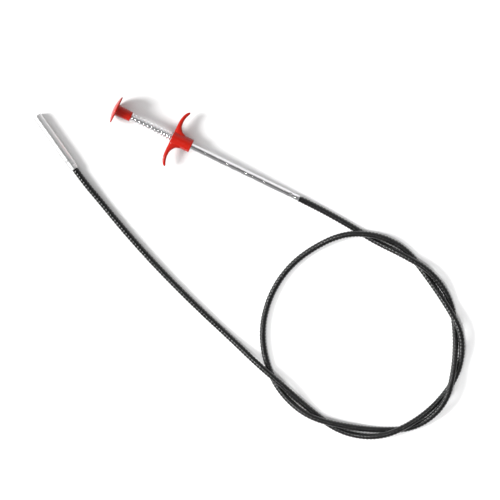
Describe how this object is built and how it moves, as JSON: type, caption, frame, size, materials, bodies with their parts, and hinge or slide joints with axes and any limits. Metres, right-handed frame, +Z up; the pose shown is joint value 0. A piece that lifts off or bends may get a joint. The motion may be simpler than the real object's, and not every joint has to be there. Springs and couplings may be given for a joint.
{
  "type": "drain auger",
  "caption": "Flexible claw pick-up drain auger: a thumb button and finger grip on a tube, and a long sheath that lies in a loop and ends in a steel tip with retracting claws.",
  "frame": {"origin": "centre of the handle's bounding box in X and Y, on the floor that the tool lies on", "axes": "+X along the handle from the thumb button to the end of its tube, +Z up from the floor, +Y across the handle along one of the grip's wings"},
  "size_m": [0.4768, 0.2143, 0.027],
  "materials": {
    "red_plastic": "glossy moulded red",
    "chromed_steel": "bright chrome plate",
    "rod_steel": "plain drawn steel",
    "spring_steel": "bright zinc plate",
    "black_plastic": "satin black, ridged by the coil under it",
    "wire_steel": "bright spring wire",
    "tip_steel": "satin nickel plate"
  },
  "bodies": {
    "handle": {"finger_grip": "red_plastic", "handle_tube": "chromed_steel", "return_spring": "spring_steel", "sheath_cover": "black_plastic", "sheath_coil": "spring_steel", "pull_wire": "wire_steel", "tip_ferrule": "tip_steel"},
    "plunger": {"thumb_button": "red_plastic", "plunger_rod": "rod_steel", "wire_clamp": "rod_steel"},
    "claw_carrier": {"claw_carrier": "rod_steel"},
    "claw_1": {"claw_1": "wire_steel"},
    "claw_2": {"claw_2": "wire_steel"},
    "claw_3": {"claw_3": "wire_steel"},
    "claw_4": {"claw_4": "wire_steel"}
  },
  "joints": [
    {"name": "plunger_slide", "type": "slide", "parent": "handle", "child": "plunger", "axis": [0.9989, 0, -0.0476], "range_m": [0, 0.028], "stiffness_N_per_m": 350, "springref_m": -0.012, "deforming": ["return_spring"]},
    {"name": "claw_carrier_slide", "type": "slide", "parent": "handle", "child": "claw_carrier", "axis": [-0.8773, 0.48, 0], "range_m": [0, 0.028]},
    {"name": "claw_1_open", "type": "hinge", "parent": "claw_carrier", "child": "claw_1", "pos_m": [-0.1377, -0.05116, 0.00529], "axis": [0.3394, 0.6203, -0.7071], "range_deg": [0, 20]},
    {"name": "claw_2_open", "type": "hinge", "parent": "claw_carrier", "child": "claw_2", "pos_m": [-0.1377, -0.05116, 0.00401], "axis": [-0.3394, -0.6203, -0.7071], "range_deg": [0, 20]},
    {"name": "claw_3_open", "type": "hinge", "parent": "claw_carrier", "child": "claw_3", "pos_m": [-0.13831, -0.05228, 0.00401], "axis": [-0.3394, -0.6203, 0.7071], "range_deg": [0, 20]},
    {"name": "claw_4_open", "type": "hinge", "parent": "claw_carrier", "child": "claw_4", "pos_m": [-0.13831, -0.05228, 0.00529], "axis": [0.3394, 0.6203, 0.7071], "range_deg": [0, 20]}
  ],
  "couplings": [
    {"joint": "claw_carrier_slide", "follows": "plunger_slide", "ratio": 1},
    {"joint": "claw_1_open", "follows": "plunger_slide", "rad_per_m": 12.46},
    {"joint": "claw_2_open", "follows": "plunger_slide", "rad_per_m": 12.46},
    {"joint": "claw_3_open", "follows": "plunger_slide", "rad_per_m": 12.46},
    {"joint": "claw_4_open", "follows": "plunger_slide", "rad_per_m": 12.46}
  ]
}
